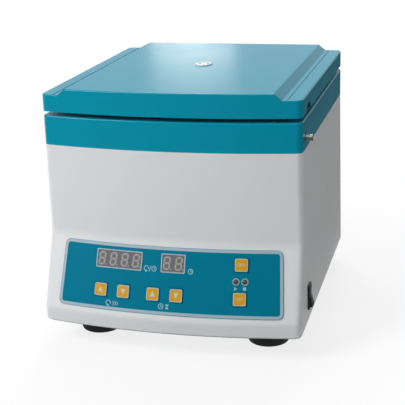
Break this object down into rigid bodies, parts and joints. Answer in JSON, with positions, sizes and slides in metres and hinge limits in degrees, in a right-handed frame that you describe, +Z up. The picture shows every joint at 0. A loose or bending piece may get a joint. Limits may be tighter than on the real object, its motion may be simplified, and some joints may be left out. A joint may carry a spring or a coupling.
{
  "type": "low-speed centrifuge",
  "caption": "Bench centrifuge: hinged lid with sight window, steel chamber, angle rotor with tube sleeves, side lock pin and a sloping panel of keys and displays.",
  "frame": {"origin": "middle of the footprint, hinges and lip included, at the level of the bench", "axes": "+X to the right as seen from the front, +Y to the rear, +Z up"},
  "size_m": [0.2802, 0.3385, 0.2753],
  "materials": {
    "teal_abs": "glossy moulded",
    "pale_abs": "fine texture",
    "white_abs": "smooth",
    "black_nylon": "satin",
    "panel_film": "satin printed film",
    "orange_keys": "smooth",
    "display_lens": "smooth",
    "lamp_lens": "clear tinted",
    "clear_window": "clear",
    "zinc_steel": "zinc plated",
    "stainless": "drawn sheet",
    "cast_aluminium": "satin",
    "painted_steel": "semi gloss",
    "rubber": "matte",
    "ferrite": "fired",
    "carbon": "matte",
    "copper": "enamelled winding",
    "circuit_board": "solder mask"
  },
  "bodies": {
    "base": {"housing_shell": "pale_abs", "top_collar": "teal_abs", "base_plate": "zinc_steel", "tie_rods": "zinc_steel", "rubber_feet": "rubber", "foot_screws": "zinc_steel", "control_overlay": "panel_film", "control_board": "circuit_board", "board_standoffs": "white_abs", "speed_display": "display_lens", "time_display": "display_lens", "key_switches": "black_nylon", "run_led": "lamp_lens", "stop_led": "lamp_lens", "led_bezels": "white_abs", "chamber_bowl": "stainless", "chamber_gasket": "rubber", "motor_dampers": "rubber", "damper_bolts": "zinc_steel", "motor_plate": "zinc_steel", "motor_can": "painted_steel", "motor_end_cap": "painted_steel", "motor_bearings": "stainless", "field_magnets": "ferrite", "motor_brushes": "carbon", "shaft_boot": "rubber", "hinge_body_leaves": "zinc_steel", "hinge_pins": "stainless", "latch_bush": "black_nylon", "lid_sensor": "black_nylon", "rocker_bezel": "black_nylon", "mains_inlet": "black_nylon", "inlet_pins": "zinc_steel", "fuse_holder": "black_nylon", "transformer_core": "ferrite", "transformer_coil": "copper", "drive_board": "circuit_board", "drive_board_posts": "white_abs", "smoothing_capacitor": "painted_steel"},
    "lid": {"lid_shell": "teal_abs", "lid_liner": "white_abs", "window_bezel": "white_abs", "sight_window": "clear_window", "hinge_lid_leaves": "zinc_steel", "lid_hook": "zinc_steel", "lid_magnet": "ferrite"},
    "rotor": {"drive_shaft": "stainless", "motor_armature": "copper", "rotor_head": "cast_aluminium", "tube_sleeves": "cast_aluminium", "rotor_nut": "cast_aluminium"},
    "latch": {"latch_pin": "stainless"},
    "rocker": {"power_rocker": "black_nylon"},
    "key_speed_up": {"key_speed_up": "orange_keys"},
    "key_speed_down": {"key_speed_down": "orange_keys"},
    "key_time_up": {"key_time_up": "orange_keys"},
    "key_time_down": {"key_time_down": "orange_keys"},
    "key_on": {"key_on": "orange_keys"},
    "key_off": {"key_off": "orange_keys"}
  },
  "joints": [
    {"name": "lid_hinge", "type": "hinge", "parent": "base", "child": "lid", "pos_m": [0, 0.1654, 0.2463], "axis": [-1, 0, 0], "range_deg": [0, 75]},
    {"name": "rotor_spin", "type": "hinge", "parent": "base", "child": "rotor", "pos_m": [0, 0.0152, 0.2051], "axis": [0, 0, 1], "continuous": true},
    {"name": "latch_slide", "type": "slide", "parent": "base", "child": "latch", "axis": [-1, 0, 0], "range_m": [0, 0.0045]},
    {"name": "rocker_tilt", "type": "hinge", "parent": "base", "child": "rocker", "pos_m": [0.13731, -0.1048, 0.054], "axis": [0, 1, 0], "range_deg": [0, 14]},
    {"name": "key_speed_up_press", "type": "slide", "parent": "base", "child": "key_speed_up", "axis": [0.0967, 0.9321, -0.349], "range_m": [0, 0.0005], "stiffness_N_per_m": 600, "springref_m": -0.001},
    {"name": "key_speed_down_press", "type": "slide", "parent": "base", "child": "key_speed_down", "axis": [0.0631, 0.935, -0.349], "range_m": [0, 0.0005], "stiffness_N_per_m": 600, "springref_m": -0.001},
    {"name": "key_time_up_press", "type": "slide", "parent": "base", "child": "key_time_up", "axis": [0.02, 0.9369, -0.349], "range_m": [0, 0.0005], "stiffness_N_per_m": 600, "springref_m": -0.001},
    {"name": "key_time_down_press", "type": "slide", "parent": "base", "child": "key_time_down", "axis": [-0.0133, 0.937, -0.349], "range_m": [0, 0.0005], "stiffness_N_per_m": 600, "springref_m": -0.001},
    {"name": "key_on_press", "type": "slide", "parent": "base", "child": "key_on", "axis": [-0.1027, 0.9315, -0.349], "range_m": [0, 0.0005], "stiffness_N_per_m": 600, "springref_m": -0.001},
    {"name": "key_off_press", "type": "slide", "parent": "base", "child": "key_off", "axis": [-0.1009, 0.9317, -0.349], "range_m": [0, 0.0005], "stiffness_N_per_m": 600, "springref_m": -0.001}
  ]
}
